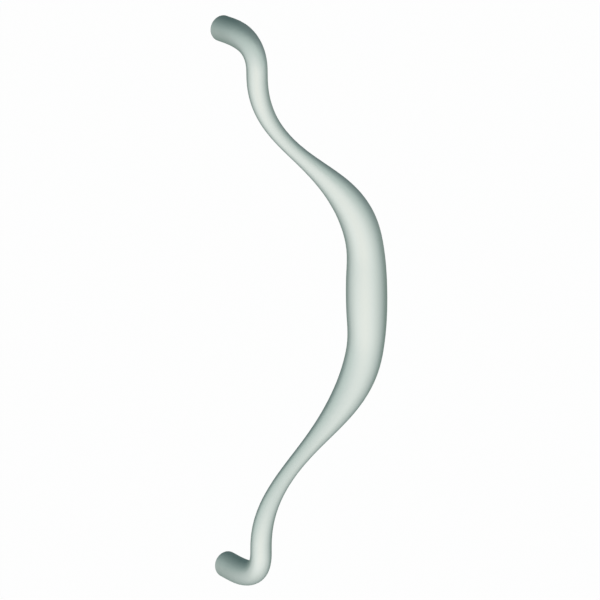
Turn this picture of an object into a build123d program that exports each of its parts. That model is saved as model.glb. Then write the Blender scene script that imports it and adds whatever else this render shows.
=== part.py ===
from build123d import *
from math import ceil, radians, tan
import os

# A cranked door pull, cast in one piece. The door face is the plane y = 0 and the pull stands
# upright along Z: two feet run out from the door along -Y, turn into curved arms, and the arms
# carry the grip out sideways towards +X.

# Place on the door
FIXING_CENTRES = 425.0
PROJECTION = 54.4  # door face to the centre line of the grip
BOW_OFFSET = 94.8  # sideways, from the line of the feet to the centre line of the grip

# Centre line
GRIP_STRAIGHT = 34.0
GRIP_PULLS = (0.194, 0.546)  # how far an arm keeps to the line of the grip, as parts of its height
NECK_PULLS = (0.124, 0.476)  # how far an arm keeps to the line of the feet, as parts of its height
ELBOW_DROP = 22.5  # from the line of a fixing to the end of its arm
ELBOW_PULLS = (0.2, 0.74)  # how far an elbow keeps to the line of its arm, as parts of the drop
FOOT_PULLS = (0.209, 0.822)  # how far a foot keeps to its way out, as parts of the projection
FOOT_LEAN = 5.4  # how far the outer of these pulls lies beyond the fixing, which rounds the heel

# Thickness along the centre line
GRIP_DIAMETER = 31.7
SHOULDER_DIAMETER = 28.4
ARM_DIAMETER = 12.2
NECK_DIAMETER = 16.4
FOOT_DIAMETER = 20.4
BARREL_LENGTH = 98.0  # from shoulder to shoulder over the middle of the grip
TAPER_START = 39.0  # from the middle of the grip
TAPER_LENGTH = 120.0  # from shoulder to arm
NECK_FLARE_START = 142.6  # from the seat
NECK_FLARE_LENGTH = 79.0  # from arm to neck
FOOT_FLARE_START = 68.6  # from the seat
FOOT_FLARE_LENGTH = 53.0  # from neck to foot

# Tapped hole in each seat
THREAD_DIAMETER = 8.0
THREAD_DEPTH = 20.0
DRILL_POINT_ANGLE = 118.0
MOUTH_CHAMFER = 0.5
SEAT_ROUNDING = 1.2  # of the edge round a seat

# Largest distances between the sections that carry the surface
ARM_SECTION_GAP = 11.0
FOOT_SECTION_GAP = 6.0

foot_z = FIXING_CENTRES / 2
neck_z = foot_z - ELBOW_DROP
grip_z = GRIP_STRAIGHT / 2
arm_height = neck_z - grip_z


def front_point(x, z):
    """A point of the plane that holds the grip and both arms."""
    return Vector(x, -PROJECTION, z)


def arm_line():
    """Centre line of the upper arm, from the end of the grip to the neck."""
    grip_pulls = [front_point(BOW_OFFSET, grip_z + part * arm_height) for part in GRIP_PULLS]
    neck_pulls = [front_point(0, neck_z - part * arm_height) for part in reversed(NECK_PULLS)]
    return Bezier(front_point(BOW_OFFSET, grip_z), *grip_pulls, *neck_pulls, front_point(0, neck_z))


def foot_line():
    """Centre line of the upper elbow and foot, from the neck to the seat."""
    near, far = (part * PROJECTION for part in FOOT_PULLS)
    elbow_pulls = [front_point(0, neck_z + part * ELBOW_DROP) for part in ELBOW_PULLS]
    foot_pulls = [Vector(0, -far, foot_z + FOOT_LEAN), Vector(0, -near, foot_z)]
    return Bezier(front_point(0, neck_z), *elbow_pulls, *foot_pulls, Vector(0, 0, foot_z))


grip = Line(front_point(BOW_OFFSET, 0), front_point(BOW_OFFSET, grip_z))
arm = arm_line()
half_line = Wire([grip, arm, foot_line()])
neck_place = grip.length + arm.length
seat_place = half_line.length


def blend(start, length, place):
    """Rise from 0 to 1 along a length, with no slope and no curvature at either end."""
    share = min(max((place - start) / length, 0), 1)
    return share**3 * (10 - 15 * share + 6 * share**2)


def diameter(place):
    """Thickness at a distance along the centre line from the middle of the grip."""
    neck_start = seat_place - NECK_FLARE_START
    foot_start = seat_place - FOOT_FLARE_START
    barrel = (SHOULDER_DIAMETER - GRIP_DIAMETER) * blend(0, BARREL_LENGTH / 2, place)
    taper = (ARM_DIAMETER - SHOULDER_DIAMETER) * blend(TAPER_START, TAPER_LENGTH, place)
    neck = (NECK_DIAMETER - ARM_DIAMETER) * blend(neck_start, NECK_FLARE_LENGTH, place)
    foot = (FOOT_DIAMETER - NECK_DIAMETER) * blend(foot_start, FOOT_FLARE_LENGTH, place)
    return GRIP_DIAMETER + barrel + taper + neck + foot


def section(place):
    """Round section square to the centre line. Places below 0 are on the lower half."""
    share = abs(place) / seat_place
    centre = half_line @ share
    along = half_line % share
    if place < 0:
        centre = Vector(centre.X, centre.Y, -centre.Z)
        along = Vector(-along.X, -along.Y, along.Z)
    across = Vector(1, 0, 0) - along * along.X
    return Plane(centre, across, along) * Circle(diameter(abs(place)) / 2)


def stretch(start, end, section_gap):
    """Solid carried by evenly spaced sections between two places."""
    gaps = ceil((end - start) / section_gap)
    gap = (end - start) / gaps
    return loft([section(start + gap * number) for number in range(gaps + 1)])


def tapped_hole():
    """Blind hole into the seat of the upper foot, with a chamfered mouth and a drill point."""
    wall_r = THREAD_DIAMETER / 2
    point_depth = wall_r / tan(radians(DRILL_POINT_ANGLE / 2))
    outline = Polyline(
        (0, 0),
        (wall_r + MOUTH_CHAMFER, 0),
        (wall_r, -MOUTH_CHAMFER),
        (wall_r, -THREAD_DEPTH),
        (0, -THREAD_DEPTH - point_depth),
        close=True,
    )
    return Pos(0, 0, foot_z) * revolve(make_face(outline), Axis.Y)


upper_foot = stretch(neck_place, seat_place, FOOT_SECTION_GAP)
seat = upper_foot.faces().sort_by(Axis.Y)[-1]
upper_foot = fillet(seat.edges(), SEAT_ROUNDING) - tapped_hole()
front = stretch(-neck_place, neck_place, ARM_SECTION_GAP)
pull = front + upper_foot + mirror(upper_foot, Plane.XY)

os.makedirs("parts", exist_ok=True)
export_step(pull, "parts/pull_handle.step")
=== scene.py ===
import math

import bpy
from mathutils import Euler, Matrix, Vector


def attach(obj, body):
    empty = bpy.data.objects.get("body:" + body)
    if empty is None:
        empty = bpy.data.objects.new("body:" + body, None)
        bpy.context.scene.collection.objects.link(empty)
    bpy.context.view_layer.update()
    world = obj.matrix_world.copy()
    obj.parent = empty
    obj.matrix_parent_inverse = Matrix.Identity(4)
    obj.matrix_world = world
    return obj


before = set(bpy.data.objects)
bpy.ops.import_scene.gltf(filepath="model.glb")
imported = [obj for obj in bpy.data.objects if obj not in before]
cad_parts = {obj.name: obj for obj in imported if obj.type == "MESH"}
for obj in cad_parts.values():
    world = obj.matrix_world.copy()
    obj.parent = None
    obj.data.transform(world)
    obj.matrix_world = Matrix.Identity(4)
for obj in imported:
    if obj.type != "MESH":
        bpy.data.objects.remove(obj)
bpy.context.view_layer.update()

# The pull itself: one aluminium casting, bowed sideways and swelling from thin necks to a thick
# grip, with a round foot turned back to the door at each end. It is fettled, satin blasted and
# anodised all over. Then each foot is faced, drilled and tapped, which leaves bright bare metal.

FIXING_HEIGHT = 0.2125        # metres, from the middle of the pull to the centre of a foot
FACED_DEPTH = 0.00005         # the facing cut ends at the rounded edge of the seat
BORE_RADIUS = 0.0047          # the tapped hole with its countersunk mouth
BORE_DEPTH = 0.025            # to below the point of the drill
FACING_FEED = 0.00018         # of the facing tool, for each turn
ANODISED = (0.785, 0.808, 0.785, 1.0)
ANODISED_SHADE = (0.765, 0.792, 0.770, 1.0)
FRESH_CUT = (0.875, 0.878, 0.872, 1.0)
CLOUD_SCALE = 34.0            # of the faint patches in the anodising, some 30 mm across
GRAIN_SCALE = 3000.0          # of the marks of the blasting, some 0.3 mm across
SATIN_ROUGHNESS = 0.28        # with what the patches and the marks add to it
CLOUD_ROUGHNESS = 0.07
GRAIN_ROUGHNESS = 0.08
CUT_ROUGHNESS = 0.24
CUT_GRAIN_ROUGHNESS = 0.05
RELIEF_DEPTH = 0.00006
RELIEF_STRENGTH = 0.7
CUT_LEVEL = 0.5               # of smooth cut metal, and the swing of the grooves about it,
GROOVE_SWING = 0.17           # both as parts of the relief


class Socket:
    """A socket of a node tree, on which plain arithmetic adds the Math nodes."""

    def __init__(self, tree, socket=None):
        self.tree = tree
        self.socket = socket

    def node(self, kind, settings, inputs, output=0):
        """Adds a node of this kind, with its settings first and then its sockets."""
        made = self.tree.nodes.new(kind)
        for name, value in settings.items():
            if name == "stops":
                band = made.color_ramp.elements
                while len(band) < len(value):
                    band.new(0.5)
                for stop, (place, colour) in zip(band, value):
                    stop.position = place
                    stop.color = colour
            else:
                setattr(made, name, value)
        for name, value in inputs.items():
            if isinstance(value, Socket):
                self.tree.links.new(value.socket, made.inputs[name])
            else:
                made.inputs[name].default_value = value
        return Socket(self.tree, made.outputs[output] if made.outputs else None)

    def math(self, operation, *values):
        return self.node("ShaderNodeMath", {"operation": operation}, dict(enumerate(values)))

    def mix(self, share, colour, other_colour):
        """A colour that turns into another one as the share goes from 0 to 1."""
        inputs = {0: share, 6: colour, 7: other_colour}
        return self.node("ShaderNodeMix", {"data_type": "RGBA"}, inputs, 2)

    def __add__(self, other):
        return self.math("ADD", self, other)

    __radd__ = __add__

    def __sub__(self, other):
        return self.math("SUBTRACT", self, other)

    def __rsub__(self, other):
        return self.math("SUBTRACT", other, self)

    def __mul__(self, other):
        return self.math("MULTIPLY", self, other)

    __rmul__ = __mul__

    def __gt__(self, other):
        return self.math("GREATER_THAN", self, other)

    def __lt__(self, other):
        return self.math("LESS_THAN", self, other)

    def __abs__(self):
        return self.math("ABSOLUTE", self)


def bare_material(name):
    """A material with no nodes yet, and the start of its node tree."""
    material = bpy.data.materials.new(name)
    material.use_nodes = True
    material.node_tree.nodes.clear()
    return material, Socket(material.node_tree)


def satin_aluminium():
    """Blasted and anodised metal, cut bright on the seats and in the holes."""
    material, tree = bare_material("satin_aluminium")
    place = tree.node("ShaderNodeTexCoord", {}, {}, "Object")
    sideways, depth, height = (
        tree.node("ShaderNodeSeparateXYZ", {}, {"Vector": place}, axis) for axis in "XYZ"
    )
    off_fixing = abs(height) - FIXING_HEIGHT
    from_axis = tree.math("SQRT", sideways * sideways + off_fixing * off_fixing)
    faced = depth > -FACED_DEPTH
    bored = (from_axis < BORE_RADIUS) * (depth > -BORE_DEPTH)
    machined = tree.math("MAXIMUM", faced, bored)

    clouds = {"Vector": place, "Scale": CLOUD_SCALE, "Detail": 3.0, "Roughness": 0.5}
    cloud = tree.node("ShaderNodeTexNoise", {}, clouds, "Fac")
    blasting = {"Vector": place, "Scale": GRAIN_SCALE, "Detail": 2.0, "Roughness": 0.6}
    grain = tree.node("ShaderNodeTexNoise", {}, blasting, "Fac")
    colour = tree.mix(machined, tree.mix(cloud, ANODISED_SHADE, ANODISED), FRESH_CUT)

    satin = SATIN_ROUGHNESS + CLOUD_ROUGHNESS * cloud + GRAIN_ROUGHNESS * grain
    cut = CUT_ROUGHNESS + CUT_GRAIN_ROUGHNESS * grain
    roughness = satin + machined * (cut - satin)

    groove = tree.math("SINE", from_axis * (2 * math.pi / FACING_FEED))
    cut_relief = faced * groove * GROOVE_SWING + CUT_LEVEL
    relief = grain + machined * (cut_relief - grain)
    bump = {"Strength": RELIEF_STRENGTH, "Distance": RELIEF_DEPTH, "Height": relief}
    surface = tree.node("ShaderNodeBump", {}, bump)
    metal = {"Base Color": colour, "Metallic": 1.0, "Roughness": roughness, "Normal": surface}
    shader = tree.node("ShaderNodeBsdfPrincipled", {}, metal)
    tree.node("ShaderNodeOutputMaterial", {}, {"Surface": shader})
    return material


aluminium = satin_aluminium()
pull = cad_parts["pull_handle"]
pull.material_slots[0].material = aluminium

# The thread in each foot: the ridge of a coarse metric thread that the tap leaves standing in
# the drilled hole, so it is the casting's own metal, bright from the cut. The countersunk mouth
# trims its first turn, and the tap's lead makes the last two run out into the wall.

THREAD_PITCH = 0.00125
THREAD_TURNS = 15
THREAD_FACETS = 48            # in a turn
CUTTER_FACETS = 96
RIDGE_CORNERS = 4
THREAD_START = -0.0002        # depths are from the door face, and those into the foot are negative
ROOT_RADIUS = 0.00403         # just inside the wall of the hole
CREST_RADIUS = 0.00332
ROOT_WIDTH = 0.001094
CREST_WIDTH = 0.000313
MOUTH_RADIUS = 0.0045         # of the countersink, which narrows by 45 degrees
MOUTH_REACH = 0.0013
LEAD_START = -0.0156
LEAD_START_RADIUS = 0.0032    # just clear of the ridge
LEAD_END = -0.0195
LEAD_END_RADIUS = 0.0043
WELD_DISTANCE = 0.000001
SMOOTH_ANGLE = math.radians(30)


def trim(piece, cutter):
    """Takes the shape of a cutter off a piece."""
    bpy.context.view_layer.objects.active = piece
    cut = piece.modifiers.new("cut", "BOOLEAN")
    cut.operation = "DIFFERENCE"
    cut.solver = "EXACT"
    cut.object = cutter
    bpy.ops.object.modifier_apply(modifier=cut.name)
    bpy.data.objects.remove(cutter)


def cone_cutter(near_depth, near_radius, far_depth, far_radius):
    """A cone on the axis of the hole, from one depth to a deeper one."""
    bpy.ops.object.select_all(action="DESELECT")
    bpy.ops.mesh.primitive_cone_add(
        vertices=CUTTER_FACETS,
        radius1=near_radius,
        radius2=far_radius,
        depth=near_depth - far_depth,
        location=(0, (near_depth + far_depth) / 2, 0),
        rotation=(math.pi / 2, 0, 0),
    )
    return bpy.context.object


ridge_height = ROOT_RADIUS - CREST_RADIUS
bpy.ops.object.select_all(action="DESELECT")
bpy.ops.mesh.primitive_plane_add(size=1)
upper_thread = bpy.context.object
upper_thread.name = "upper_thread"
bpy.ops.object.mode_set(mode="EDIT")
bpy.ops.transform.resize(value=(ridge_height, ROOT_WIDTH, 1), center_override=(0, 0, 0))
bpy.ops.mesh.select_all(action="DESELECT")
bpy.ops.object.mode_set(mode="OBJECT")
for corner in upper_thread.data.vertices:
    corner.select = corner.co.x < 0
bpy.ops.object.mode_set(mode="EDIT")
bpy.ops.transform.resize(value=(1, CREST_WIDTH / ROOT_WIDTH, 1), center_override=(0, 0, 0))
bpy.ops.mesh.select_all(action="SELECT")
bpy.ops.transform.translate(value=(CREST_RADIUS + ridge_height / 2, THREAD_START, 0))
bpy.ops.object.mode_set(mode="OBJECT")

winding = upper_thread.modifiers.new("winding", "SCREW")
winding.axis = "Y"
winding.angle = -2 * math.pi                # a right-hand thread
winding.screw_offset = -THREAD_PITCH
winding.iterations = THREAD_TURNS
winding.steps = THREAD_FACETS
winding.render_steps = THREAD_FACETS
bpy.ops.object.modifier_apply(modifier=winding.name)
bpy.ops.object.mode_set(mode="EDIT")
bpy.ops.mesh.select_all(action="SELECT")
bpy.ops.mesh.fill_holes(sides=RIDGE_CORNERS)
bpy.ops.mesh.select_all(action="SELECT")
bpy.ops.mesh.normals_make_consistent(inside=False)
bpy.ops.object.mode_set(mode="OBJECT")

mouth_end = MOUTH_RADIUS - MOUTH_REACH
trim(upper_thread, cone_cutter(MOUTH_REACH, MOUTH_RADIUS + MOUTH_REACH, -MOUTH_REACH, mouth_end))
trim(upper_thread, cone_cutter(LEAD_START, LEAD_START_RADIUS, LEAD_END, LEAD_END_RADIUS))
bpy.ops.object.mode_set(mode="EDIT")
bpy.ops.mesh.select_all(action="SELECT")
bpy.ops.mesh.remove_doubles(threshold=WELD_DISTANCE)
bpy.ops.mesh.dissolve_degenerate(threshold=WELD_DISTANCE)
bpy.ops.mesh.select_all(action="SELECT")
bpy.ops.mesh.normals_make_consistent(inside=False)
bpy.ops.object.mode_set(mode="OBJECT")
upper_thread.data.materials.append(aluminium)
bpy.ops.object.select_all(action="DESELECT")
upper_thread.select_set(True)
bpy.ops.object.shade_smooth_by_angle(angle=SMOOTH_ANGLE)
upper_thread.location.z = FIXING_HEIGHT
bpy.ops.object.transform_apply(location=True)
bpy.ops.object.duplicate()
lower_thread = bpy.context.object
lower_thread.name = "lower_thread"
lower_thread.location.z = -2 * FIXING_HEIGHT
bpy.ops.object.transform_apply(location=True)
for thread in (upper_thread, lower_thread):
    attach(thread, "root")

# The floor, at its distance below a door pull hung at hand height. It is matt white paint that
# the light tent stands on, with a painted glow over it: white to the camera, and to the metal a
# painted pool of light, bright at the front and dim behind. It runs out of sight on all sides.

FLOOR_DROP = 1.05
FLOOR_SPAN = 40.0
FLOOR_PAINT = (0.86, 0.87, 0.865, 1.0)
FLOOR_GLOW = 0.98             # the rest is the paint, which keeps the shadow
WHITE = (1.0, 1.0, 1.0, 1.0)
BRIGHT_AZIMUTH = math.radians(-38)      # the tent's bright side, left of straight in front
BRIGHT_ELEVATION = math.radians(-18)
# The floor's painted glow as the metal sees it: a painted pool of light, dim behind and bright at
# the front left.
PAINTED_FLOOR_GLOW_STOPS = [               # from the side away from the bright one to that side itself
    (0.00, (0.17, 0.22, 0.20, 1.0)),
    (0.25, (0.24, 0.32, 0.29, 1.0)),
    (0.50, (0.59, 0.66, 0.65, 1.0)),
    (0.70, (0.78, 0.84, 0.80, 1.0)),
    (0.87, (0.97, 1.02, 1.00, 1.0)),
    (1.00, (1.09, 1.10, 1.05, 1.0)),
]


def light_and_painted_glow(tree, direction, stops):
    """The colour of the tent's light in a direction from the pull, by its turn to the bright side;
    on the floor, a painted glow.
    """
    bright_side = (
        math.sin(BRIGHT_AZIMUTH) * math.cos(BRIGHT_ELEVATION),
        -math.cos(BRIGHT_AZIMUTH) * math.cos(BRIGHT_ELEVATION),
        math.sin(BRIGHT_ELEVATION),
    )
    settings = {"operation": "DOT_PRODUCT"}
    facing = tree.node("ShaderNodeVectorMath", settings, {0: direction, 1: bright_side}, "Value")
    return tree.node("ShaderNodeValToRGB", {"stops": stops}, {"Fac": facing * 0.5 + 0.5})


def pale_floor():
    """White to the camera, and a painted glow, bright at the front and dim behind, in what the
    metal shows of it.
    """
    material, tree = bare_material("pale_floor")
    place = tree.node("ShaderNodeTexCoord", {}, {}, "Object")
    direction = tree.node("ShaderNodeVectorMath", {"operation": "NORMALIZE"}, {0: place})
    camera, glossy, clear = (
        tree.node("ShaderNodeLightPath", {}, {}, f"Is {ray} Ray")
        for ray in ("Camera", "Glossy", "Transmission")
    )
    # Painted light: to the metal the floor glows in a painted pool of light, bright at the front
    # and dim behind.
    seen = tree.mix(camera, light_and_painted_glow(tree, direction, PAINTED_FLOOR_GLOW_STOPS), WHITE)
    glow = tree.node("ShaderNodeEmission", {}, {"Color": seen, "Strength": 1.0})
    paint = tree.node("ShaderNodeBsdfDiffuse", {}, {"Color": FLOOR_PAINT})
    glow_share = (camera + glossy + clear) * FLOOR_GLOW
    shader = tree.node("ShaderNodeMixShader", {}, {0: glow_share, 1: paint, 2: glow})
    tree.node("ShaderNodeOutputMaterial", {}, {"Surface": shader})
    return material


bpy.ops.object.select_all(action="DESELECT")
bpy.ops.mesh.primitive_plane_add(size=FLOOR_SPAN, location=(0, 0, -FLOOR_DROP))
floor = bpy.context.object
floor.name = "floor"
bpy.ops.object.transform_apply(location=True)
floor.data.materials.append(pale_floor())

# The light tent round the pull: white cloth lit from outside, so that soft light comes from
# every side. It is brightest at the front left and falls off to a cool shade behind the pull.

TENT_STOPS = [
    (0.00, (0.06, 0.11, 0.11, 1.0)),
    (0.25, (0.25, 0.33, 0.32, 1.0)),
    (0.50, (0.59, 0.69, 0.66, 1.0)),
    (0.70, (0.67, 0.76, 0.73, 1.0)),
    (0.87, (0.83, 0.89, 0.87, 1.0)),
    (1.00, (0.98, 1.03, 1.00, 1.0)),
]

world = bpy.data.worlds.new("light_tent")
bpy.context.scene.world = world
world.use_nodes = True
world.node_tree.nodes.clear()
tent = Socket(world.node_tree)
tent_direction = tent.node("ShaderNodeTexCoord", {}, {}, "Generated")
tent_camera = tent.node("ShaderNodeLightPath", {}, {}, "Is Camera Ray")
tent_colour = tent.mix(tent_camera, light_and_painted_glow(tent, tent_direction, TENT_STOPS), WHITE)
tent_cloth = tent.node("ShaderNodeBackground", {}, {"Color": tent_colour, "Strength": 1.0})
tent.node("ShaderNodeOutputWorld", {}, {"Surface": tent_cloth})

# The fill lights: three softboxes of white cloth, dim beside the tent's bright side, that stand
# at the right, at the left and low down at the left. They lift the edges of the pull that turn
# away from the bright side.

FILLS = [                     # name, azimuth and elevation in degrees, distance, width, watts
    ("right_fill", 105, 25, 1.1, 1.6, 0.54),
    ("left_fill", -105, 0, 1.1, 1.6, 0.32),
    ("low_fill", -70, -58, 0.85, 0.86, 0.14),
]

for name, azimuth, elevation, distance, width, watts in FILLS:
    around = math.radians(azimuth)
    above = math.radians(elevation)
    towards = Vector((
        math.sin(around) * math.cos(above),
        -math.cos(around) * math.cos(above),
        math.sin(above),
    ))
    cloth = bpy.data.lights.new(name, "AREA")
    cloth.size = width
    cloth.energy = watts
    fill = bpy.data.objects.new(name, cloth)
    bpy.context.scene.collection.objects.link(fill)
    facing_pull = towards.to_track_quat("Z", "Y").to_matrix().to_4x4()
    fill.matrix_world = Matrix.Translation(towards * distance) @ facing_pull
    fill.visible_camera = False

# The camera, far off with a long lens so that nothing in the picture converges. It stands to the
# left of the pull and a little above it.

VIEW_AZIMUTH = math.radians(-29.592)
VIEW_ELEVATION = math.radians(15.192)
VIEW_ROLL = math.radians(-0.481)
VIEW_SPAN = 0.45917           # metres across the picture
VIEW_RIGHT = 0.058306         # the middle of the picture, right of the frame's origin
VIEW_UP = -0.00366
VIEW_DISTANCE = 1.5

turn = Euler((math.pi / 2 - VIEW_ELEVATION, 0, VIEW_AZIMUTH)).to_matrix()
middle = turn @ Vector((VIEW_RIGHT, VIEW_UP, VIEW_DISTANCE))
upright = turn @ Matrix.Rotation(VIEW_ROLL, 3, "Z")
camera_data = bpy.data.cameras.new("camera")
camera_data.type = "ORTHO"
camera_data.ortho_scale = VIEW_SPAN
camera = bpy.data.objects.new("camera", camera_data)
bpy.context.scene.collection.objects.link(camera)
camera.matrix_world = Matrix.Translation(middle) @ upright.to_4x4()
bpy.context.scene.camera = camera

bpy.context.scene.view_settings.view_transform = "Standard"
